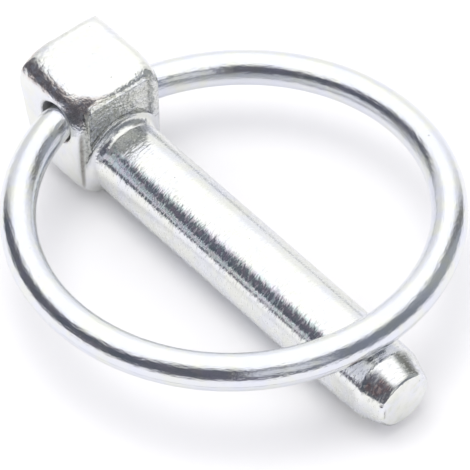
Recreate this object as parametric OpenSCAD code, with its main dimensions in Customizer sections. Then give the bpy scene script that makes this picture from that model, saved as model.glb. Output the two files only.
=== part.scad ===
// Linch pin: a forged pin whose snap ring swings over and closes on the shank.
// The shank runs along +X, the ring closes on its +Z side, and the origin is on the
// shank's axis where its straight part meets the fillet under the head.

/* [Shank] */
// Diameter of the shank
shank_d = 10; // [8:0.5:11]
// Length from the head's fillet to the taper
shank_len = 48.1; // [30:0.1:80]
// Length of the slight lead before the taper
lead_len = 4.5; // [4.5:0.1:8]
// How much smaller the diameter is where the lead meets the taper
lead_fall = 0.2; // [0.1:0.05:0.3]
// Length of the taper at the tip
taper_len = 3.4; // [1:0.1:6]
// Diameter of the flat end face
tip_d = 7.4; // [4:0.1:7.6]
// Radius of the fillet between shank and head
root_r = 1.2; // [0.6:0.1:1.6]

/* [Head] */
// Width of the head, between the two sides that take the ring
head_w = 13.0; // [12.4:0.1:16]
// Depth of the head along the shank, at its top
head_depth = 13.4; // [12.5:0.1:18]
// Height of the head's top above the shank's axis
head_rise = 12.0; // [11:0.1:16]
// How much shallower the head is at its foot than at its top
back_lean = 3.0; // [0:0.1:3]
// Rounding along the top of the head's two sides
crown_r = 2.2; // [0.5:0.1:4]
// Rounding of the shoulder's edges
shoulder_r = 1.1; // [0.3:0.1:2]
// Rounding of the back's upper edge
back_r = 2.4; // [0.5:0.1:4]
// Rounding of the back's two upright edges
post_r = 0.6; // [0.3:0.1:3]
// Rounding along the foot of the head
foot_r = 2.9; // [0.5:0.1:4]
// How far the foot of the head hangs below the shank
foot_drop = 0.2; // [0.1:0.1:0.6]
// Distance from the head's middle to its rounded corners
corner_reach = 11.2; // [10:0.1:16]

/* [Panel] */
// Depth of the sunk panel in the shoulder
panel_depth = 0.4; // [0.2:0.1:1]
// Distance from the head's outline to the panel
panel_rim = 1.7; // [1.7:0.1:3]
// Rounding of the panel's corners
panel_r = 0.9; // [0.3:0.1:1.5]
// Height of the panel's lower edge above the shank's axis
panel_foot = 3.6; // [0:0.1:6]
// Width of the raised line around the panel
line_w = 0.5; // [0.2:0.1:0.5]
// Height of the raised line above the shoulder
line_rise = 0.15; // [0.05:0.05:0.4]

/* [Hole] */
// How much wider the ring's hole is than its wire
hole_play = 1.6; // [1.4:0.1:2.4]
// Distance of the hole's middle behind the shoulder
hole_back = 5.1; // [4.8:0.05:7]
// Height of the hole's middle above the shank's axis
hole_rise = 5.4; // [4:0.1:7]
// Lean of the hole's axis, in degrees: its -Y mouth is the higher one
hole_lean = 9.5; // [7:0.5:12]

/* [Ring] */
// Diameter of the ring's wire
wire_d = 4.5; // [3:0.1:5]
// How far the ring's ends sit ahead of the hole's middle
ring_lead = 0.45; // [0.1:0.05:0.5]
// How far the ring sits to one side
ring_shift = 0.7; // [0:0.1:0.8]
// Height difference between the ring's two ends
ring_twist = 2.8; // [1.8:0.1:3]
// Length of each straight end of the ring
end_len = 4.6; // [3:0.1:5]
// Distance of the closed ring behind the taper
cross_back = 0.2; // [0:0.1:4]
// Gap between the closed ring and the shank
rest_gap = 0.02; // [0.01:0.01:0.1]

/* [Hidden] */
$fn = 60;

shank_r = shank_d / 2;
shank_tip = shank_len + taper_len;
shank_anchor = head_depth / 2;
straight_len = shank_len - lead_len;
lead_r = (shank_d - lead_fall) / 2;
taper_round = min(2, lead_r / 2);
tip_round = 0.4;
shoulder_x = -root_r;
foot_z = -shank_r - foot_drop;

hole_x = shoulder_x - hole_back;
wire_r = wire_d / 2;
hole_r = (wire_d + hole_play) / 2;

// The closed ring crosses the shank just behind the taper, and bends just outside
// the hole. Its size and its slope follow from those two places.
cross_x = shank_len - wire_r - cross_back;
shank_r_there = shank_r - lead_fall / 2 * (cross_x - straight_len) / lead_len;
cross_z = shank_r_there + rest_gap + wire_r;
bend_out = 0.2;
bend_over = 0.4;
bend_y = head_w / 2 + bend_out;
ring_span = cross_x - hole_x - ring_lead;
ring_r = (ring_span * ring_span + bend_y * bend_y) / (2 * ring_span);
ring_drop = asin((cross_z - hole_rise) / ring_span);
half_twist = asin(ring_twist / 2 / ring_span);

function unit(v) = v / norm(v);
function half_angle(p, a, b) = acos(unit(a - p) * unit(b - p)) / 2;
function arc_centre(p, a, b, r) = p + unit(unit(a - p) + unit(b - p)) * r / sin(half_angle(p, a, b));
function arc_start(p, a, b, r) = p + unit(a - p) * r / tan(half_angle(p, a, b));

// Convex outline through pts, with corner i rounded to radius radii[i].
module rounded_outline(pts, radii) {
    n = len(pts);
    ends = [for (i = [0 : n - 1])
        let (p = pts[i], a = pts[(i + n - 1) % n], b = pts[(i + 1) % n])
        each [arc_start(p, a, b, radii[i]), arc_start(p, b, a, radii[i])]];
    polygon(ends);
    for (i = [0 : n - 1])
        if (radii[i] > 0)
            translate(arc_centre(pts[i], pts[(i + n - 1) % n], pts[(i + 1) % n], radii[i]))
                circle(r = radii[i]);
}

// Side view of the head, drawn with X along the shank and Y upwards.
module head_side() {
    rounded_outline(
        [[shoulder_x, foot_z],
         [shoulder_x, head_rise],
         [shoulder_x - head_depth, head_rise],
         [shoulder_x - head_depth + back_lean, foot_z]],
        [shoulder_r, shoulder_r, back_r, foot_r]);
}

// Front view of the head, drawn with X across and Y upwards.
module head_front() {
    rounded_outline(
        [[-head_w / 2, foot_z],
         [head_w / 2, foot_z],
         [head_w / 2, head_rise],
         [-head_w / 2, head_rise]],
        [foot_r, foot_r, crown_r, crown_r]);
}

// Plan view of the head, drawn with X along the shank and Y across.
module head_plan() {
    rounded_outline(
        [[shoulder_x, -head_w / 2],
         [shoulder_x, head_w / 2],
         [shoulder_x - head_depth, head_w / 2],
         [shoulder_x - head_depth, -head_w / 2]],
        [shoulder_r, shoulder_r, post_r, post_r]);
}

// The three views cut out of one block, and a ball that takes off its corners.
module head_block() {
    size = 2 * (head_depth + head_rise);
    intersection() {
        translate([shoulder_x - head_depth / 2, 0, (head_rise + foot_z) / 2])
            sphere(r = corner_reach);
        rotate([90, 0, 0])
            linear_extrude(height = head_w, center = true)
                head_side();
        rotate([90, 0, 90])
            linear_extrude(height = size, center = true)
                head_front();
        translate([0, 0, -size / 2])
            linear_extrude(height = size)
                head_plan();
    }
}

// Front view of the panel, grown by more on every side.
module panel_front(more = 0) {
    half = head_w / 2 - panel_rim + more;
    foot = panel_foot - more;
    top = head_rise - panel_rim + more;
    radius = panel_r + more;
    rounded_outline(
        [[-half, foot],
         [half, foot],
         [half, top],
         [-half, top]],
        [radius, radius, radius, radius]);
}

// Outer edge of the fillet, which cuts off the panel and its raised line.
module fillet_edge() {
    circle(r = shank_r + root_r);
}

// Sunk panel in the shoulder, above the shank.
module panel_cut() {
    translate([shoulder_x - panel_depth, 0, 0])
        rotate([90, 0, 90])
            linear_extrude(height = 2 * (panel_depth + line_rise))
                difference() {
                    panel_front();
                    fillet_edge();
                }
}

// Raised line around the panel, rooted in the head.
module panel_line() {
    translate([shoulder_x - panel_depth, 0, 0])
        rotate([90, 0, 90])
            linear_extrude(height = panel_depth + line_rise)
                difference() {
                    panel_front(line_w);
                    panel_front();
                    fillet_edge();
                }
}

// Carries its children from the hole's own frame, where the hole runs along +Z
// from its middle towards the -Y mouth.
module on_hole_axis() {
    translate([hole_x, 0, hole_rise])
        rotate([90 - hole_lean, 0, 0])
            children();
}

// Shank with its slight lead and its tapered tip, revolved about the X axis.
module shank() {
    rotate([0, 90, 0])
        rotate_extrude()
            rounded_outline(
                [[0, -shank_anchor],
                 [shank_r, -shank_anchor],
                 [shank_r, straight_len],
                 [lead_r, shank_len],
                 [tip_d / 2, shank_tip],
                 [0, shank_tip]],
                [0, 0, 0, taper_round, tip_round, 0]);
}

// Fillet between shank and shoulder, kept inside the head's front view.
module root_fillet() {
    intersection() {
        rotate([0, 90, 0])
            rotate_extrude()
                difference() {
                    translate([0, shoulder_x - root_r])
                        square([shank_r + root_r, 2 * root_r]);
                    translate([shank_r + root_r, 0])
                        circle(r = root_r);
                }
        rotate([90, 0, 90])
            linear_extrude(height = 4 * root_r, center = true)
                head_front();
    }
}

module pin() {
    color("silver") {
        difference() {
            union() {
                difference() {
                    union() {
                        head_block();
                        panel_line();
                    }
                    panel_cut();
                }
                shank();
                root_fillet();
            }
            on_hole_axis()
                cylinder(h = 2 * head_w, r = hole_r, center = true);
        }
    }
}

// One half of the ring, from the crossing to the bend at the head, and the straight
// end that sits in the hole: side is -1 or 1, and -1 is drawn in mirror image. Arc and
// end run past the bend, into each other, which closes its outer corner. The section is
// turned back by the half's own slope, so that the halves meet point for point.
module half_ring(side) {
    reach = asin((bend_y - side * ring_shift) / ring_r);
    over_angle = bend_over / ring_r * 180 / PI;
    pitch = ring_drop + side * half_twist;
    bend_x = -ring_r - ring_r * cos(reach);
    mirror([0, side < 0 ? 1 : 0, 0]) {
        rotate([0, -pitch, 0])
            translate([-ring_r, 0, 0])
                rotate_extrude(angle = 180 - reach + over_angle)
                    translate([ring_r, 0])
                        rotate(-pitch)
                            circle(d = wire_d);
        translate([bend_x * cos(pitch), ring_r * sin(reach), bend_x * sin(pitch)])
            rotate([90 - side * hole_lean, 0, 0])
                translate([0, 0, -bend_over])
                    cylinder(h = end_len + bend_over, d = wire_d);
    }
}

module ring() {
    color("gainsboro")
        translate([cross_x, ring_shift, cross_z])
            for (side = [-1, 1])
                half_ring(side);
}

pin();
ring();
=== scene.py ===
import math

import bpy
import numpy as np
from mathutils import Euler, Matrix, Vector


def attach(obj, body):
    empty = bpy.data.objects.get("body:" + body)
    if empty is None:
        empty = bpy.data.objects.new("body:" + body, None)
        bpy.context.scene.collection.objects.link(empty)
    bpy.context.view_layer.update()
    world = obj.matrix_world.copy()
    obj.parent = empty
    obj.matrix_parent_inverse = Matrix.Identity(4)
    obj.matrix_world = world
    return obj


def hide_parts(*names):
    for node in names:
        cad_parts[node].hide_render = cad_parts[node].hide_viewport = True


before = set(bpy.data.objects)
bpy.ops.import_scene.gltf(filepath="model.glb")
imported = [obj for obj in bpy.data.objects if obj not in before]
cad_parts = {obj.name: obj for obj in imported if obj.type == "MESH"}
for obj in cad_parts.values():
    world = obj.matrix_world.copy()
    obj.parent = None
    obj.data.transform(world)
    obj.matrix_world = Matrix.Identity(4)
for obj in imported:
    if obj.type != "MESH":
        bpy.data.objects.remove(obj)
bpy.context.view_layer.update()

MM = 0.001

# ---------------------------------------------------------------- measures, in mm
# The pin lies along X with its shoulder behind the origin and its tip ahead. Left is
# the -Y side.
SHOULDER_X = -1.2
HEAD_DEPTH = 13.2
HEAD_LEFT = 6.6
HEAD_RIGHT = 6.48
HEAD_TOP = 11.95
HEAD_FOOT = -5.18
HEAD_LEAN = 3.24
HEAD_MIDDLE = (-8.0, 3.3)
CROWN_LEFT = 2.59
CROWN_RIGHT = 1.9
SHOULDER_ROUND = 1.15
BACK_ROUND = 1.9
POST_ROUND = 0.7
FOOT_ROUND = 3.99
FOOT_FLAT_ROUND = 0.15
CORNER_BALL = (-9.0, 1.45, 2.17)
CORNER_REACH = 11.75
CORNER_BLEND = 1.2

# Unevenness of the head: (height, size of the bumps, seed).
DIE_RIPPLES = ((0.03, 4.0, 3), (0.012, 1.3, 5))

SHANK_R = 5.0
LEAD_X = 43.6
LEAD_R = 4.9
TAPER_X = 48.1
TAPER_BLEND = 0.12
TIP_X = 51.48
TIP_R = 3.7
TIP_ROUND = 0.45
ROOT_ROUND = 1.2

HINGE = (-6.3, 0.0, 5.4)
HOLE = (-6.2, 0.0, 5.3)
HOLE_R = 2.82
HOLE_LIP = 0.3
HOLE_LEAN = math.radians(9.5)

PANEL_DEPTH = 0.4
PANEL_LEFT = -4.8
PANEL_RIGHT = 4.5
PANEL_TOP = 10.2
PANEL_FOOT = 3.6
PANEL_ROUND = 0.9
PANEL_RIM = 0.14
# Slopes of the panel's walls, as run over rise: all of them, and what the right adds.
PANEL_DRAFT = 0.45
PANEL_DRAFT_RIGHT = 1.1
LINE_WIDTH = 0.5
LINE_RISE = 0.13
LINE_ROOT = 1.0
LINE_ROUND = 0.1
LINE_FILLET = 0.12

WIRE_R = 2.25
WIRE_CHAMFER = 0.35
RING_SHIFT = 0.7
RING_LEAD = 0.45
RING_TWIST = 2.8
BEND_Y = 6.7
END_LEN = 4.6
CROSS_X = 45.65
REST_GAP = 0.02

# Marks that the materials read: the seam at the shoulder's left edge, a pit and a burr
# at the tip, painted shade along the tip's lower edge, and the stain on the taper.
SEAM_X = SHOULDER_X - 0.4
SEAM_Y = 0.4 - HEAD_LEFT
SEAM_TOP = 8.5
PIT = (51.1, -3.52, 1.53)
BURR_X = 51.5
BURR_Y = -3.2
BURR_HALF = 0.6
# Where the painted shade along the tip's lower edge begins.
TIP_SHADE_X = 51.0
STAIN_LAP = 42.0
STAIN_HALF = 17.0

# Grid on which the forging's surface is found: each run is (from, to, spacing).
GRID_X = (
    (-15.2, 1.6, 0.16), (1.6, 3.2, 0.4), (3.2, 42.8, 0.8), (42.8, 47.6, 0.4),
    (47.6, 51.8, 0.18))
GRID_Y = ((-7.0, 7.0, 0.16),)
GRID_Z = ((-5.5, 12.3, 0.16),)
SETTLE_ROUNDS = 4
NORMAL_STEP = 0.04
BEND_STEP = 0.25

# Fineness of the wire's tube.
ARC_POINTS = 360
END_POINTS = 40
BEND_SMOOTHING = 60
RING_SECTIONS = 700
RING_AROUND = 72


# ---------------------------------------------------------------- forms as distances
def rounded(a, b, r):
    """Outer edge of radius r where two faces meet."""
    corner = np.hypot(np.maximum(a + r, 0), np.maximum(b + r, 0))
    return np.minimum(np.maximum(a, b), -r) + corner


def filleted(a, b, r):
    """Inner fillet of radius r where two forms join."""
    corner = np.hypot(np.maximum(r - a, 0), np.maximum(r - b, 0))
    return np.maximum(np.minimum(a, b), r) - corner


def eased(a, b, width):
    """Softened edge between two faces that lie nearly in line."""
    near = np.maximum(width - np.abs(a - b), 0) / width
    return np.maximum(a, b) + near * near * width / 4


def lattice(i, j, k, seed):
    """One fixed number from 0 to 1 for each point of a cubic lattice."""
    n = (i * 374761393 + j * 668265263 + k * 1274126177 + seed * 97531) & 0xFFFFFFFF
    n = ((n ^ (n >> 13)) * 1274126177) & 0xFFFFFFFF
    n = ((n ^ (n >> 16)) * 2246822519) & 0xFFFFFFFF
    return ((n ^ (n >> 15)) & 0xFFFF) / 65535.0


def ripple(x, y, z, size, seed):
    """Smooth unevenness from -1 to 1, with bumps about size apart."""
    cells, parts = [], []
    for v in (x, y, z):
        c = np.floor(v / size)
        t = v / size - c
        cells.append(c.astype(np.int64))
        parts.append(t * t * (3 - 2 * t))
    total = np.zeros(np.shape(x))
    for di in (0, 1):
        for dj in (0, 1):
            for dk in (0, 1):
                w = parts[0] if di else 1 - parts[0]
                w = w * (parts[1] if dj else 1 - parts[1])
                w = w * (parts[2] if dk else 1 - parts[2])
                total += w * lattice(cells[0] + di, cells[1] + dj, cells[2] + dk, seed)
    return total * 2 - 1


def head_form(x, y, z):
    """Squared head, rounded towards its corners like a pillow."""
    lean = HEAD_LEAN / (HEAD_TOP - HEAD_FOOT)
    back = (SHOULDER_X - HEAD_DEPTH + lean * (HEAD_TOP - z) - x) / math.hypot(1, lean)
    ends = np.maximum(x - SHOULDER_X, back)
    sides = np.maximum(-y - HEAD_LEFT, y - HEAD_RIGHT)
    flats = np.maximum(z - HEAD_TOP, HEAD_FOOT - z)
    ahead = x > HEAD_MIDDLE[0]
    upper = z > HEAD_MIDDLE[1]
    r_side = np.where(upper, np.where(y < 0, CROWN_LEFT, CROWN_RIGHT), FOOT_ROUND)
    r_end = np.where(ahead, SHOULDER_ROUND, np.where(upper, BACK_ROUND, FOOT_ROUND))
    r_post = np.where(ahead, SHOULDER_ROUND, POST_ROUND)
    form = np.maximum(rounded(sides, flats, r_side), rounded(ends, flats, r_end))
    form = np.maximum(form, rounded(ends, sides, r_post))
    cx, cy, cz = CORNER_BALL
    ball = np.sqrt((x - cx) ** 2 + (y - cy) ** 2 + (z - cz) ** 2) - CORNER_REACH
    return rounded(form, ball, CORNER_BLEND)


def slope_between(x, r, x0, r0, x1, r1):
    """Distance outside the cone whose side runs from (x0, r0) to (x1, r1)."""
    dx, dr = x1 - x0, r1 - r0
    return ((r - r0) * dx - (x - x0) * dr) / math.hypot(dx, dr)


def shank_form(x, y, z):
    """Round shank with its slight lead, taper and flat end."""
    r = np.hypot(y, z)
    lead = slope_between(x, r, LEAD_X, SHANK_R, TAPER_X, LEAD_R)
    taper = slope_between(x, r, TAPER_X, LEAD_R, TIP_X, TIP_R)
    side = eased(np.maximum(r - SHANK_R, lead), taper, TAPER_BLEND)
    form = rounded(side, x - TIP_X, TIP_ROUND)
    return np.maximum(form, HOLE[0] - x)


def hole_form(x, y, z):
    """Slanted round hole that holds the ring's two ends."""
    ay, az = -math.cos(HOLE_LEAN), math.sin(HOLE_LEAN)
    px, py, pz = x - HOLE[0], y - HOLE[1], z - HOLE[2]
    along = py * ay + pz * az
    return np.sqrt(px ** 2 + (py - along * ay) ** 2 + (pz - along * az) ** 2) - HOLE_R


def panel_outline(y, z, more, more_right=0.0):
    """Distance outside the panel's outline, grown by more and cut off at the fillet."""
    across = np.maximum(PANEL_LEFT - y, y - PANEL_RIGHT - more_right) - more
    upright = np.maximum(z - PANEL_TOP, PANEL_FOOT - z) - more
    outline = rounded(across, upright, PANEL_ROUND + more)
    return np.maximum(outline, SHANK_R + ROOT_ROUND - np.hypot(y, z))


def panel_form(x, y, z):
    """Sunk panel in the shoulder, with sloping walls."""
    above = x - SHOULDER_X + PANEL_DEPTH
    wall = panel_outline(y, z, PANEL_DRAFT * above, PANEL_DRAFT_RIGHT * above)
    return np.maximum(wall / math.hypot(1, PANEL_DRAFT), -above)


def line_form(x, y, z):
    """Raised line around the panel."""
    rise = np.maximum(x - SHOULDER_X - LINE_RISE, SHOULDER_X - LINE_ROOT - x)
    return rounded(panel_outline(y, z, LINE_WIDTH), rise, LINE_ROUND)


def pin_form(x, y, z):
    """Whole forging, with the unevenness that a die leaves on the head."""
    head = head_form(x, y, z)
    for height, size, seed in DIE_RIPPLES:
        head = head + height * ripple(x, y, z, size, seed)
    head = filleted(head, line_form(x, y, z), LINE_FILLET)
    head = rounded(head, -panel_form(x, y, z), PANEL_RIM)
    form = filleted(head, shank_form(x, y, z), ROOT_ROUND)
    form = rounded(form, HEAD_FOOT - z, FOOT_FLAT_ROUND)
    return rounded(form, -hole_form(x, y, z), HOLE_LIP)


# ---------------------------------------------------------------- meshing
def steps(*runs):
    """Grid positions along one axis: each run is (from, to, spacing)."""
    parts = []
    for lo, hi, gap in runs:
        count = max(2, int(round((hi - lo) / gap)) + 1)
        parts.append(np.linspace(lo, hi, count)[:-1])
    return np.append(np.concatenate(parts), runs[-1][1])


def skin(form, xs, ys, zs):
    """Quads of the surface form = 0: one point in each grid cell that it crosses."""
    grid = np.meshgrid(xs, ys, zs, indexing="ij")
    value = form(*grid)
    inside = value < 0
    shape = tuple(n - 1 for n in value.shape)
    total = np.zeros(shape + (3,))
    count = np.zeros(shape)
    crossings = []
    for axis in range(3):
        near = [slice(None)] * 3
        far = [slice(None)] * 3
        near[axis], far[axis] = slice(None, -1), slice(1, None)
        near, far = tuple(near), tuple(far)
        cut = np.array(np.nonzero(inside[near] != inside[far])).T
        v0 = value[near][tuple(cut.T)]
        v1 = value[far][tuple(cut.T)]
        share = v0 / (v0 - v1)
        place = np.empty((len(cut), 3))
        for c, line in enumerate((xs, ys, zs)):
            place[:, c] = line[cut[:, c]]
        line = (xs, ys, zs)[axis]
        place[:, axis] += share * (line[cut[:, axis] + 1] - line[cut[:, axis]])
        b, c = [(1, 2), (2, 0), (0, 1)][axis]
        around = []
        for db, dc in ((-1, -1), (0, -1), (0, 0), (-1, 0)):
            cell = cut.copy()
            cell[:, b] += db
            cell[:, c] += dc
            around.append(cell)
            np.add.at(total, tuple(cell.T), place)
            np.add.at(count, tuple(cell.T), 1)
        crossings.append((around, v0 < 0))
    number = np.full(shape, -1)
    used = count > 0
    number[used] = np.arange(used.sum())
    points = total[used] / count[used][:, None]
    faces = []
    for around, outward in crossings:
        quad = np.stack([number[tuple(cell.T)] for cell in around], 1)
        faces.append(np.where(outward[:, None], quad, quad[:, ::-1]))
    return points, np.concatenate(faces)


def slope_at(form, points, h):
    """Direction in which form grows fastest at each point."""
    out = np.empty_like(points)
    for c in range(3):
        ahead, behind = points.copy(), points.copy()
        ahead[:, c] += h
        behind[:, c] -= h
        out[:, c] = (form(*ahead.T) - form(*behind.T)) / (2 * h)
    return out


def settle(form, points, rounds):
    """Moves the points onto the surface form = 0."""
    for _ in range(rounds):
        g = slope_at(form, points, 0.01)
        size = np.maximum((g * g).sum(1), 0.25)
        move = -(form(*points.T) / size)[:, None] * g
        points = points + np.clip(move, -0.1, 0.1)
    return points


def unit_rows(v):
    """Each row of v, scaled to length 1."""
    return v / np.maximum(np.linalg.norm(v, axis=1), 1e-9)[:, None]


def mesh_piece(name, points, faces, normals):
    """A smooth-shaded piece, from points in mm and a list of faces."""
    mesh = bpy.data.meshes.new(name)
    mesh.from_pydata((points * MM).tolist(), [], faces)
    mesh.polygons.foreach_set("use_smooth", np.ones(len(faces), bool))
    mesh.normals_split_custom_set_from_vertices(normals.tolist())
    piece = bpy.data.objects.new(name, mesh)
    bpy.context.scene.collection.objects.link(piece)
    return piece


def note(piece, name, values):
    """Stores one number per point for the materials to read."""
    attribute = piece.data.attributes.new(name, "FLOAT", "POINT")
    attribute.data.foreach_set("value", np.asarray(values, np.float32))


def bend_of(form, points, h):
    """How sharply the surface turns, in 1/mm: above 0 on edges, below 0 in creases."""
    middle = form(*points.T)
    total = np.zeros(len(points))
    for c in range(3):
        for sign in (-h, h):
            beside = points.copy()
            beside[:, c] += sign
            total += form(*beside.T) - middle
    return total / (h * h)


def fade(value, start, width):
    """0 up to start, 1 from start + width on."""
    return np.clip((value - start) / width, 0, 1)


def close_to(distance, width):
    """1 near the middle of a mark, 0 beyond one and a half times its width."""
    return 1 - fade(distance, width / 2, width)


def shoulder_mask(x, y, z, off_axis):
    """The shoulder's face around the panel, which reaches lower at its left edge."""
    foot = 2.0 - 2.4 * fade(-y, 4.2, 1.0)
    ahead = fade(x, SHOULDER_X - 0.9, 0.5)
    return ahead * fade(off_axis, SHANK_R + ROOT_ROUND - 0.3, 0.5) * fade(z, foot, 1.5)


def brown_mask(x, y, z, off_axis, tilt):
    """Stain on the rounding of the crown's left edge, and on the left of the taper."""
    crown = (1 - fade(tilt, 0.8, 0.08)) * fade(tilt, 0.25, 0.25)
    crown = crown * fade(-y, 0.5, 3.0) * (x < SHOULDER_X - 0.2)
    lap = np.degrees(np.arctan2(-y, z))
    taper = fade(x, TAPER_X + 0.2, 0.3) * (1 - fade(np.abs(lap - STAIN_LAP), STAIN_HALF - 6.0, 6.0))
    return np.maximum(crown, taper * fade(off_axis, TIP_R + 0.1, 0.2))


def dark_mask(x, y, z, off_axis):
    """Thin dark marks: the shoulder's seam and the tip's pit and burr, with painted shade along the
    tip's lower edge.
    """
    seam = close_to(np.hypot(x - SEAM_X, y - SEAM_Y), 0.24) * (1 - fade(z, SEAM_TOP - 2.0, 2.0))
    pit = np.sqrt((x - PIT[0]) ** 2 + (y - PIT[1]) ** 2 + (z - PIT[2]) ** 2)
    burr = np.hypot(x - BURR_X, y - BURR_Y) + np.maximum(np.abs(z) - BURR_HALF, 0)
    # Painted shade along the tip's lower edge, only on its underside.
    under = np.abs(off_axis - TIP_R) + np.maximum(TIP_SHADE_X - x, 0)
    under = (1 - fade(under, 0.06, 0.2)) * np.minimum(fade(-z, 1.2, 1.2), 0.6)
    return np.maximum.reduce([seam, close_to(pit, 0.17), 0.5 * close_to(burr, 0.12), under])


def make_pin():
    """The forging, with what its material reads stored at each point."""
    points, faces = skin(pin_form, steps(*GRID_X), steps(*GRID_Y), steps(*GRID_Z))
    points = settle(pin_form, points, SETTLE_ROUNDS)
    normals = unit_rows(slope_at(pin_form, points, NORMAL_STEP))
    pin = mesh_piece("forged_pin", points, faces.tolist(), normals)
    x, y, z = points.T
    off_axis = np.hypot(y, z)
    # How far each point lies in a crease, where the material paints shade.
    note(pin, "crease", fade(-bend_of(pin_form, points, BEND_STEP), 0, 1.6))
    note(pin, "shoulder", shoulder_mask(x, y, z, off_axis))
    note(pin, "brown", brown_mask(x, y, z, off_axis, normals[:, 2]))
    # The dark marks, together with the painted shade along the tip's lower edge.
    note(pin, "seam", dark_mask(x, y, z, off_axis))
    note(pin, "bore", close_to(np.abs(hole_form(x, y, z)), 0.3))
    return pin


def ring_path():
    """Middle line of the wire, from the end in the -Y mouth round to the other."""
    lead_there = SHANK_R - (SHANK_R - LEAD_R) * (CROSS_X - LEAD_X) / (TAPER_X - LEAD_X)
    cross_z = lead_there + REST_GAP + WIRE_R
    span = CROSS_X - HINGE[0] - RING_LEAD
    radius = (span * span + BEND_Y * BEND_Y) / (2 * span)
    drop = math.asin((cross_z - HINGE[2]) / span)
    half_twist = math.asin(RING_TWIST / 2 / span)
    halves = []
    for side in (-1, 1):
        reach = math.asin((BEND_Y - side * RING_SHIFT) / radius)
        pitch = drop + side * half_twist
        a = np.linspace(0, math.pi - reach, ARC_POINTS)
        back = radius * np.cos(a) - radius
        across = side * radius * np.sin(a)
        arc = np.stack([back * math.cos(pitch), across, back * math.sin(pitch)], 1)
        way = np.array([0, -side * math.cos(HOLE_LEAN), side * math.sin(HOLE_LEAN)])
        t = np.linspace(0, END_LEN, END_POINTS)[1:]
        line = np.concatenate([arc, arc[-1] + t[:, None] * way])
        halves.append(line + np.array([CROSS_X, RING_SHIFT, cross_z]))
    path = np.concatenate([halves[0][::-1], halves[1][1:]])
    for _ in range(BEND_SMOOTHING):
        path[1:-1] += 0.5 * ((path[:-2] + path[2:]) / 2 - path[1:-1])
    return path


def tube_faces(sections, around):
    """Quads between the sections, and a fan on each end, round two added points."""
    k = np.arange(around)
    n = (k + 1) % around
    last = sections - 1
    faces = []
    for i in range(last):
        a, b = i * around, (i + 1) * around
        faces += np.stack([a + k, b + k, b + n, a + n], 1).tolist()
    start, stop = sections * around, sections * around + 1
    faces += [[start, int(p), int(q)] for p, q in zip(k, n)]
    faces += [[stop, last * around + int(q), last * around + int(p)] for p, q in zip(k, n)]
    return faces


def make_ring():
    """The wire as one tube along its middle line, with its two ends chamfered."""
    path = ring_path()
    run = np.concatenate([[0], np.cumsum(np.linalg.norm(np.diff(path, axis=0), axis=1))])
    even = np.linspace(0, run[-1], RING_SECTIONS)
    path = np.stack([np.interp(even, run, path[:, c]) for c in range(3)], 1)
    way = unit_rows(np.gradient(path, axis=0))
    side = unit_rows(np.cross(way, np.array([0.0, 0.0, 1.0])))
    top = np.cross(side, way)
    angle = np.linspace(0, 2 * math.pi, RING_AROUND, endpoint=False)

    # Each section is its middle, the place on the path that turns it, and its radius.
    first = int(np.searchsorted(even, 2 * WIRE_CHAMFER))
    sections = [
        (path[0], 0, WIRE_R - WIRE_CHAMFER),
        (path[0] + way[0] * WIRE_CHAMFER, 0, WIRE_R)]
    sections += [(path[i], i, WIRE_R) for i in range(first, len(path) - first)]
    sections += [
        (path[-1] - way[-1] * WIRE_CHAMFER, -1, WIRE_R),
        (path[-1], -1, WIRE_R - WIRE_CHAMFER)]
    points, normals = [], []
    for middle, i, r in sections:
        spoke = np.cos(angle)[:, None] * side[i] + np.sin(angle)[:, None] * top[i]
        points.append(middle + r * spoke)
        normals.append(spoke)
    points = np.concatenate(points + [path[:1], path[-1:]])
    normals = np.concatenate(normals + [-way[:1], way[-1:]])
    ring = mesh_piece("spring_ring", points, tube_faces(len(sections), RING_AROUND), normals)

    along = [np.linalg.norm(middle - path, axis=1).argmin() for middle, _, _ in sections]
    note(ring, "run", np.append(np.repeat(even[along], RING_AROUND), [0, even[-1]]))
    note(ring, "turn", np.append(np.tile(angle, len(sections)), [0, 0]))
    return ring


# ---------------------------------------------------------------- shader helpers
FLOAT, VECTOR, COLOUR = "NodeSocketFloat", "NodeSocketVector", "NodeSocketColor"


def plug(tree, socket, value):
    """Links a socket, or sets it where the value is a constant."""
    if isinstance(value, bpy.types.NodeSocket):
        tree.links.new(value, socket)
    else:
        socket.default_value = value


def add(tree, kind, settings=None, **inputs):
    """One node, with its settings and the values or links of its inputs.

    An input is given by its name, with _ for a space, or as i0, i1 and so on.
    """
    node = tree.nodes.new(kind)
    for key, value in (settings or {}).items():
        setattr(node, key, value)
    for key, value in inputs.items():
        numbered = key[0] == "i" and key[1:].isdigit()
        plug(tree, node.inputs[int(key[1:]) if numbered else key.replace("_", " ")], value)
    return node


def maths(tree, operation, a, b=0.0, clamp=False):
    node = add(tree, "ShaderNodeMath", {"operation": operation, "use_clamp": clamp}, i0=a, i1=b)
    return node.outputs[0]


def times(tree, first, *others):
    """Product of all the values."""
    for value in others:
        first = maths(tree, "MULTIPLY", first, value)
    return first


def plus(tree, first, *others):
    """Sum of all the values."""
    for value in others:
        first = maths(tree, "ADD", first, value)
    return first


def less(tree, value, share=1.0):
    """1 less a share of the value."""
    return maths(tree, "SUBTRACT", 1.0, times(tree, value, share))


def vector_maths(tree, operation, a, b=None):
    node = add(tree, "ShaderNodeVectorMath", {"operation": operation}, i0=a)
    if b is not None:
        plug(tree, node.inputs[1], b)
    return node


def blend(tree, share, a, b):
    """Value between a and b."""
    node = add(tree, "ShaderNodeMix", {"data_type": "FLOAT"}, i0=share, i2=a, i3=b)
    return node.outputs[0]


def blend_colour(tree, share, a, b):
    """Colour between a and b."""
    node = add(tree, "ShaderNodeMix", {"data_type": "RGBA"}, i0=share, i6=a, i7=b)
    return node.outputs[2]


def ramp(tree, value, low, high):
    """0 at low and 1 at high, smooth between and level beyond. Low may be the greater."""
    node = add(tree, "ShaderNodeMapRange", {"interpolation_type": "SMOOTHSTEP"}, Value=value)
    node.inputs["From Min"].default_value = low
    node.inputs["From Max"].default_value = high
    return node.outputs["Result"]


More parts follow.
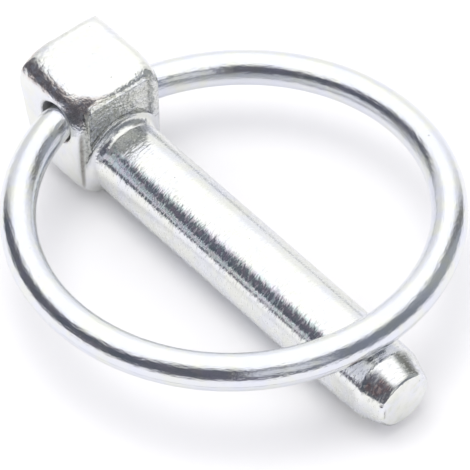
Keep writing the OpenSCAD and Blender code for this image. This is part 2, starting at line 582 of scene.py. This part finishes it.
def noise(tree, place, scale, **inputs):
    return add(tree, "ShaderNodeTexNoise", Vector=place, Scale=scale, **inputs).outputs["Fac"]


def new_group(name, takes, gives):
    """Node group with its inputs as (name, kind, value) and its outputs as (name, kind)."""
    tree = bpy.data.node_groups.new(name, "ShaderNodeTree")
    for label, kind, value in takes:
        socket = tree.interface.new_socket(label, in_out="INPUT", socket_type=kind)
        if value is not None:
            socket.default_value = value
    for label, kind in gives:
        tree.interface.new_socket(label, in_out="OUTPUT", socket_type=kind)
    return tree, tree.nodes.new("NodeGroupInput").outputs, tree.nodes.new("NodeGroupOutput").inputs


def plating_group():
    """Zinc plating: faint clouds of warm and cool grey in a light grey."""
    tree, take, give = new_group(
        "zinc plating",
        [("Place", VECTOR, None), ("Cloud Size", FLOAT, 4.0), ("Tint", FLOAT, 0.5),
         ("Metal", COLOUR, (0.79, 0.79, 0.79, 1))],
        [("Color", COLOUR)])
    scale = maths(tree, "DIVIDE", 1.0, take["Cloud Size"])
    clouds = noise(tree, take["Place"], scale, Detail=3.0, Roughness=0.55)
    warm = ramp(tree, clouds, 0.4, 0.62)
    other = add(
        tree, "ShaderNodeTexNoise", {"noise_dimensions": "4D"},
        Vector=take["Place"], Scale=scale, W=7.3, Detail=2.0)
    cool = ramp(tree, other.outputs["Fac"], 0.42, 0.64)
    colour = take["Metal"]
    for share, tint in ((warm, (0.77, 0.78, 0.70, 1)), (cool, (0.72, 0.74, 0.84, 1))):
        colour = blend_colour(tree, times(tree, share, take["Tint"]), colour, tint)
    tree.links.new(colour, give["Color"])
    return tree


def grain_group():
    """Tool marks: fine grain drawn out along one direction, with a coarser one."""
    tree, take, give = new_group(
        "tool marks",
        [("Place", VECTOR, None), ("Stretch", VECTOR, (1.0, 1.0, 1.0)), ("Fine", FLOAT, 3.0),
         ("Coarse", FLOAT, 0.8), ("Balance", FLOAT, 0.4), ("Detail", FLOAT, 3.0)],
        [("Height", FLOAT), ("Mask", FLOAT)])
    laid = vector_maths(tree, "MULTIPLY", take["Place"], take["Stretch"]).outputs[0]
    fine = noise(tree, laid, take["Fine"], Detail=take["Detail"], Roughness=0.55)
    coarse = noise(tree, laid, take["Coarse"], Detail=take["Detail"])
    tree.links.new(blend(tree, take["Balance"], coarse, fine), give["Height"])
    tree.links.new(ramp(tree, fine, 0.35, 0.7), give["Mask"])
    return tree


def speck_group():
    """Small scattered pits and specks of dirt."""
    tree, take, give = new_group(
        "specks",
        [("Place", VECTOR, None), ("Spread", FLOAT, 0.7), ("Size", FLOAT, 0.12)],
        [("Mask", FLOAT)])
    spots = add(
        tree, "ShaderNodeTexVoronoi", {"feature": "F1"},
        Vector=take["Place"], Scale=take["Spread"])
    crowded = ramp(tree, noise(tree, take["Place"], 0.35), 0.5, 0.7)
    size = times(tree, take["Size"], crowded)
    tree.links.new(maths(tree, "LESS_THAN", spots.outputs["Distance"], size), give["Mask"])
    return tree


PLATING = plating_group()
GRAIN = grain_group()
SPECKS = speck_group()


def use(tree, group, **inputs):
    """Outputs of a node group, with the values or links of its inputs."""
    node = tree.nodes.new("ShaderNodeGroup")
    node.node_tree = group
    for key, value in inputs.items():
        plug(tree, node.inputs[key.replace("_", " ")], value)
    return node.outputs


def new_material(name):
    material = bpy.data.materials.new(name)
    material.use_nodes = True
    material.node_tree.nodes.clear()
    return material, material.node_tree


def in_mm(tree):
    """Place on the piece, in mm."""
    place = add(tree, "ShaderNodeTexCoord").outputs["Object"]
    scaled = add(tree, "ShaderNodeVectorMath", {"operation": "SCALE"}, i0=place, Scale=1000.0)
    return scaled.outputs[0]


def reading(tree, name):
    """The number that is stored under a name at each point of the mesh."""
    return add(tree, "ShaderNodeAttribute", {"attribute_name": name}).outputs["Fac"]


def metal_surface(tree, colour, rough, height, depth):
    """Bare metal, with a height from 0 to 1 that stands for depth, in m."""
    bump = add(tree, "ShaderNodeBump", Height=height, Strength=1.0, Distance=depth)
    shader = add(
        tree, "ShaderNodeBsdfPrincipled", Metallic=1.0,
        Base_Color=colour, Roughness=rough, Normal=bump.outputs["Normal"])
    add(tree, "ShaderNodeOutputMaterial", Surface=shader.outputs[0])


# ---------------------------------------------------------------- finishes
# Colours are linear.
FORGED_ZINC = (0.80, 0.806, 0.794, 1)
WIRE_ZINC = (0.75, 0.765, 0.80, 1)
DULL_ZINC = (0.66, 0.68, 0.60, 1)
FILM_GREEN = (0.58, 0.80, 0.84, 1)
FILM_PURPLE = (0.80, 0.70, 0.86, 1)
HEAD_STAIN = (0.60, 0.52, 0.49, 1)
TIP_STAIN = (0.62, 0.42, 0.39, 1)
# Painted shade in the creases.
CREASE_SHADE = (0.35, 0.34, 0.30, 1)
GRIME = (0.40, 0.41, 0.35, 1)
# Dark marks, and the painted shade along the tip's lower edge.
MARKS_AND_SHADE = (0.28, 0.27, 0.25, 1)
SPECK_DARK = (0.25, 0.25, 0.25, 1)
WIRE_SPECK = (0.3, 0.3, 0.3, 1)

# Roughness of the clean metal, and depth of its marks in m.
FORGED_ROUGH = 0.11
FORGED_DEPTH = 0.00018
WIRE_ROUGH = 0.13
WIRE_DEPTH = 0.00006

# Stretches over which the forging's finish changes, as (from, to) in mm. Along the pin:
SHANK_START = (-0.9, 0.4)
STROKES_START = (-0.5, 3.5)
TAPER_START = (47.6, 48.4)
END_FACE = (51.1, 51.4)
FILM_END = (41.0, 44.0)
STAIN_CHANGE = (40.0, 44.0)
# Across the pin, where left is below 0:
STROKES_RIGHT = (2.0, 0.0)
STROKES_LEFT = (-4.8, -3.8)
FILM_RIGHT = (-2.2, -2.9)
FILM_LEFT = (-4.6, -3.8)
GRIME_LEFT = (-4.6, -5.3)
GRIME_RIGHT = (0.0, 4.0)
DULL_RIGHT = (1.6, 2.8)


def forged_finish():
    """Zinc plated forging: cast grain on the head, turned strokes on the shank."""
    material, tree = new_material("plated forging")
    place = in_mm(tree)
    axes = add(tree, "ShaderNodeSeparateXYZ", Vector=place)
    along, across = axes.outputs["X"], axes.outputs["Y"]
    shoulder, brown = reading(tree, "shoulder"), reading(tree, "brown")
    # Dark marks, which include painted shade along the tip's lower edge.
    seam = reading(tree, "seam")
    plating = use(tree, PLATING, Place=place, Cloud_Size=2.6, Tint=0.5, Metal=FORGED_ZINC)
    marks = use(tree, GRAIN, Place=place, Stretch=(1.0, 1.0, 1.0), Fine=1.9, Coarse=0.7)
    turned = use(
        tree, GRAIN, Place=place, Stretch=(4.4, 1.5, 1.5),
        Fine=1.0, Coarse=0.42, Balance=0.55, Detail=0.9)
    specks = use(tree, SPECKS, Place=place, Spread=0.9, Size=0.10)
    patches = noise(tree, place, 0.9, Detail=3.0, Roughness=0.6)
    pebble = noise(tree, place, 2.0, Detail=2.0)
    film = noise(tree, place, 1.3, Detail=1.0)

    # The shank's strokes fade at its root, on the taper, and on its two flanks.
    end_face = ramp(tree, along, *END_FACE)
    shank = maths(
        tree, "SUBTRACT", ramp(tree, along, *SHANK_START), times(tree, end_face, 0.7))
    straight = times(
        tree, ramp(tree, along, *STROKES_START),
        less(tree, ramp(tree, along, *TAPER_START), 0.7))
    upper = times(
        tree, ramp(tree, across, *STROKES_RIGHT), ramp(tree, across, *STROKES_LEFT))
    strokes = times(
        tree, turned["Height"],
        plus(tree, 0.08, times(tree, straight, 0.24)),
        plus(tree, 0.35, times(tree, upper, 0.65)))
    height = blend(tree, shank, marks["Height"], strokes)
    height = plus(tree, height, times(tree, pebble, shoulder, 1.6), times(tree, seam, -0.8))

    # Share and colour of each layer that lies on the plating, from the lowest.
    filmed = times(
        tree, ramp(tree, across, *FILM_RIGHT), ramp(tree, across, *FILM_LEFT),
        maths(tree, "SUBTRACT", shank, ramp(tree, along, *FILM_END), clamp=True))
    film_colour = blend_colour(tree, ramp(tree, film, 0.42, 0.58), FILM_GREEN, FILM_PURPLE)
    stained = times(tree, brown, ramp(tree, patches, 0.36, 0.56))
    stain = blend_colour(tree, ramp(tree, along, *STAIN_CHANGE), HEAD_STAIN, TIP_STAIN)
    grimy = maths(
        tree, "MAXIMUM", ramp(tree, pebble, 0.62, 0.42), ramp(tree, across, *GRIME_LEFT))
    grimy = times(tree, grimy, shoulder, less(tree, ramp(tree, across, *GRIME_RIGHT), 0.75))
    dull = plus(tree, 0.16, times(tree, end_face, 0.5))
    colour = plating["Color"]
    for share, paint in (
            (times(tree, filmed, 0.36), film_colour),
            (times(tree, stained, 0.8), stain),
            # Painted shade in the creases.
            (times(tree, reading(tree, "crease"), 0.25), CREASE_SHADE),
            (times(tree, grimy, 0.6), GRIME),
            # Dark marks, and painted shade along the tip's lower edge.
            (times(tree, seam, 0.85), MARKS_AND_SHADE),
            (times(tree, ramp(tree, patches, 0.45, 0.7), dull), DULL_ZINC),
            (times(tree, specks["Mask"], 0.6), SPECK_DARK)):
        colour = blend_colour(tree, share, colour, paint)

    rough = plus(
        tree, FORGED_ROUGH,
        times(tree, marks["Mask"], 0.06),
        times(tree, shank, ramp(tree, turned["Mask"], 0.66, 0.9), 0.2),
        times(tree, shank, ramp(tree, across, *DULL_RIGHT), 0.14),
        times(tree, shoulder, 0.15),
        times(tree, brown, 0.08),
        times(tree, reading(tree, "bore"), 0.4))
    metal_surface(tree, colour, rough, height, FORGED_DEPTH)
    return material


def wire_finish():
    """Zinc plated drawn spring wire, with its drawing lines along it."""
    material, tree = new_material("plated wire")
    place = in_mm(tree)
    turn, run = reading(tree, "turn"), reading(tree, "run")
    laid = add(
        tree, "ShaderNodeCombineXYZ", X=times(tree, run, 0.12),
        Y=maths(tree, "SINE", turn), Z=maths(tree, "COSINE", turn)).outputs[0]
    plating = use(tree, PLATING, Place=place, Cloud_Size=2.8, Tint=0.65, Metal=WIRE_ZINC)
    lines = use(tree, GRAIN, Place=laid, Fine=9.0, Coarse=2.5, Balance=0.6)
    specks = use(tree, SPECKS, Place=place, Spread=0.55, Size=0.09)
    colour = blend_colour(tree, times(tree, specks["Mask"], 0.5), plating["Color"], WIRE_SPECK)
    rough = plus(tree, WIRE_ROUGH, times(tree, lines["Mask"], 0.05))
    metal_surface(tree, colour, rough, lines["Height"], WIRE_DEPTH)
    return material


# ---------------------------------------------------------------- the two pieces
pin = make_pin()
pin.data.materials.append(forged_finish())
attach(pin, "pin")
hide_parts("pin")

ring = make_ring()
ring.data.materials.append(wire_finish())
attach(ring, "ring")
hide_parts("ring")


# ---------------------------------------------------------------- stage
# The pin rests on the front edge of its foot and on its shank near the tip.
REST_BACK = (-2.3, -5.2)
REST_FRONT = (LEAD_X, -SHANK_R)
FLOOR_SLOPE = (REST_FRONT[1] - REST_BACK[1]) / (REST_FRONT[0] - REST_BACK[0])
FLOOR_HALF = 3.0
FLOOR_WHITE = (0.96, 0.955, 0.965, 1)

# Dome that only reflections see, in m and degrees.
DOME_RADIUS = 0.25
DOME_MIDDLE = (0.02, 0.0, 0.0)
DOME_FOOT = -12.0
DOME_RISE = 101.9
DOME_COLUMNS = 64
DOME_ROWS = 20

# A side of the dome is (direction in the plan in degrees, then the cosines of the angle
# from it where the side starts and where it is full). Heights are (from, to) as shares
# of the radius. Colours in pairs are (away from the bright side, towards it).
DARK_SIDE = (-40, -0.75, -0.55)
FOLD_COOL = (0.075, 0.10, 0.12, 1)
FOLD_WARM = (0.20, 0.18, 0.22, 1)
DARK_PATCHES = (
    ((45, 0.2, 0.95), (0.25, 0.27, 0.31, 1)),
    ((75, 0.8, 0.99), (0.40, 0.42, 0.44, 1)),
    ((91, 0.965, 0.993), (0.19, 0.19, 0.185, 1)))
WINDOW_SIDE = (-18, 0.93, 0.985)
WINDOW_FOOT = (0.22, 0.34)
WINDOW_HEAD = (0.62, 0.74)
WINDOW_WHITE = (0.8, 0.81, 0.83, 1)
BRIGHT_SIDE = (132, 0.8, 0.95)
BACK_RISE = (0.35, 0.6)
BACK_LOW = ((0.86, 0.86, 0.87, 1), (1.08, 1.08, 1.08, 1))
BACK_HIGH = ((0.95, 0.95, 0.96, 1), (1.35, 1.35, 1.35, 1))
# The top starts higher towards the front, and highest beside the tip.
TOP_START = (0.6, 0.8)
TOP_LIFT = 0.02
FRONT_LIFT = 0.10
FRONT_DIRECTION = -15
TIP_LIFT = 0.10
TIP_SIDE = (-62, 0.87, 0.96)
TOP_WHITE = (1.35, 1.35, 1.35, 1)


def stage_piece(name, verts, faces, material):
    mesh = bpy.data.meshes.new(name)
    mesh.from_pydata(verts, [], faces)
    piece = bpy.data.objects.new(name, mesh)
    piece.data.materials.append(material)
    bpy.context.scene.collection.objects.link(piece)
    return piece


def floor_finish():
    material, tree = new_material("pale floor")
    cloth = add(tree, "ShaderNodeBsdfDiffuse", Color=FLOOR_WHITE)
    add(tree, "ShaderNodeOutputMaterial", Surface=cloth.outputs[0])
    return material


def floor_z(x):
    """Height of the floor under the pin, in m."""
    return REST_BACK[1] * MM + (x - REST_BACK[0] * MM) * FLOOR_SLOPE


stage_piece(
    "floor",
    [(sx * FLOOR_HALF, sy * FLOOR_HALF, floor_z(sx * FLOOR_HALF))
     for sx, sy in ((-1, -1), (1, -1), (1, 1), (-1, 1))],
    [(0, 1, 2, 3)], floor_finish())


def shade_finish():
    """A dome with a dark side, a bright top and a lit back."""
    material, tree = new_material("studio shade")
    object_place = add(tree, "ShaderNodeTexCoord").outputs["Object"]
    way = vector_maths(tree, "NORMALIZE", object_place).outputs[0]
    height = add(tree, "ShaderNodeSeparateXYZ", Vector=way).outputs["Z"]
    flat = vector_maths(tree, "MULTIPLY", way, (1.0, 1.0, 0.0)).outputs[0]
    flat = vector_maths(tree, "NORMALIZE", flat).outputs[0]

    def facing(degrees):
        """Cosine of the angle in the plan from a direction."""
        toward = (math.cos(math.radians(degrees)), math.sin(math.radians(degrees)), 0.0)
        return vector_maths(tree, "DOT_PRODUCT", flat, toward).outputs["Value"]

    def side(direction, start, full):
        """1 on one side of the dome, 0 on the rest."""
        return ramp(tree, facing(direction), start, full)

    cloth = noise(tree, way, 9.0, Detail=2.0)
    dark = blend_colour(tree, ramp(tree, cloth, 0.38, 0.62), FOLD_COOL, FOLD_WARM)
    for place, colour in DARK_PATCHES:
        dark = blend_colour(tree, side(*place), dark, colour)
    window = times(
        tree, side(*WINDOW_SIDE), ramp(tree, height, *WINDOW_FOOT),
        less(tree, ramp(tree, height, *WINDOW_HEAD)))
    dark = blend_colour(tree, window, dark, WINDOW_WHITE)

    bright = side(*BRIGHT_SIDE)
    back = blend_colour(
        tree, ramp(tree, height, *BACK_RISE),
        blend_colour(tree, bright, *BACK_LOW), blend_colour(tree, bright, *BACK_HIGH))
    walls = blend_colour(tree, side(*DARK_SIDE), back, dark)

    lift = plus(
        tree, times(tree, facing(FRONT_DIRECTION), FRONT_LIFT), TOP_LIFT,
        times(tree, side(*TIP_SIDE), TIP_LIFT))
    top = ramp(tree, maths(tree, "SUBTRACT", height, lift), *TOP_START)
    card = add(
        tree, "ShaderNodeEmission", Strength=1.0,
        Color=blend_colour(tree, top, walls, TOP_WHITE))
    add(tree, "ShaderNodeOutputMaterial", Surface=card.outputs[0])
    return material


def studio_shade():
    """Dome round the object, which only its reflections see."""
    verts, faces = [], []
    for j in range(DOME_ROWS + 1):
        up = math.radians(DOME_FOOT + DOME_RISE * j / DOME_ROWS)
        for i in range(DOME_COLUMNS):
            a = 2 * math.pi * i / DOME_COLUMNS
            spoke = (math.cos(up) * math.cos(a), math.cos(up) * math.sin(a), math.sin(up))
            verts.append(tuple(DOME_RADIUS * c for c in spoke))
    for j in range(DOME_ROWS):
        low, high = j * DOME_COLUMNS, (j + 1) * DOME_COLUMNS
        for i in range(DOME_COLUMNS):
            n = (i + 1) % DOME_COLUMNS
            faces.append((low + i, low + n, high + n, high + i))
    band = stage_piece("studio_shade", verts, faces, shade_finish())
    band.location = DOME_MIDDLE
    band.visible_camera = False
    band.visible_diffuse = False
    band.visible_shadow = False
    band.visible_transmission = False


studio_shade()

# ---------------------------------------------------------------- light
LAMP_PLACE = (-0.08, -0.06, 0.7)
LAMP_WIDTH = 0.5
LAMP_WATTS = 1.55
LAMP_COLOUR = (1.0, 0.99, 0.96)
ROOM_LIGHT = (0.95, 0.95, 0.975, 1)
ROOM_SEEN = (1.0, 1.0, 1.0, 1)

lamp = bpy.data.lights.new("overhead_light", "AREA")
lamp.shape = "DISK"
lamp.size = LAMP_WIDTH
lamp.energy = LAMP_WATTS
lamp.color = LAMP_COLOUR
holder = bpy.data.objects.new("overhead_light", lamp)
holder.location = LAMP_PLACE
holder.visible_glossy = False
bpy.context.scene.collection.objects.link(holder)

world = bpy.data.worlds.new("white room")
bpy.context.scene.world = world
world.use_nodes = True
tree = world.node_tree
tree.nodes.clear()
rays = add(tree, "ShaderNodeLightPath").outputs
seen = maths(tree, "MAXIMUM", rays["Is Camera Ray"], rays["Is Glossy Ray"])
seen = maths(tree, "MAXIMUM", seen, rays["Is Transmission Ray"])
room = blend_colour(tree, seen, ROOM_LIGHT, ROOM_SEEN)
sky = add(tree, "ShaderNodeBackground", Color=room, Strength=1.0)
add(tree, "ShaderNodeOutputWorld", Surface=sky.outputs[0])

# ---------------------------------------------------------------- camera
CAMERA_PLACE = (232.788, -174.782, 312.491)
CAMERA_TURN = (41.62444, 0.69439, 49.75524)

camera = bpy.data.objects.new("camera", bpy.data.cameras.new("camera"))
camera.data.sensor_fit = "HORIZONTAL"
camera.data.sensor_width = 36.0
camera.data.lens = 260.43
camera.data.clip_start = 0.01
camera.location = Vector(CAMERA_PLACE) * MM
camera.rotation_euler = Euler([math.radians(a) for a in CAMERA_TURN], "XYZ")
bpy.context.scene.collection.objects.link(camera)
bpy.context.scene.camera = camera
bpy.context.scene.view_settings.view_transform = "Standard"
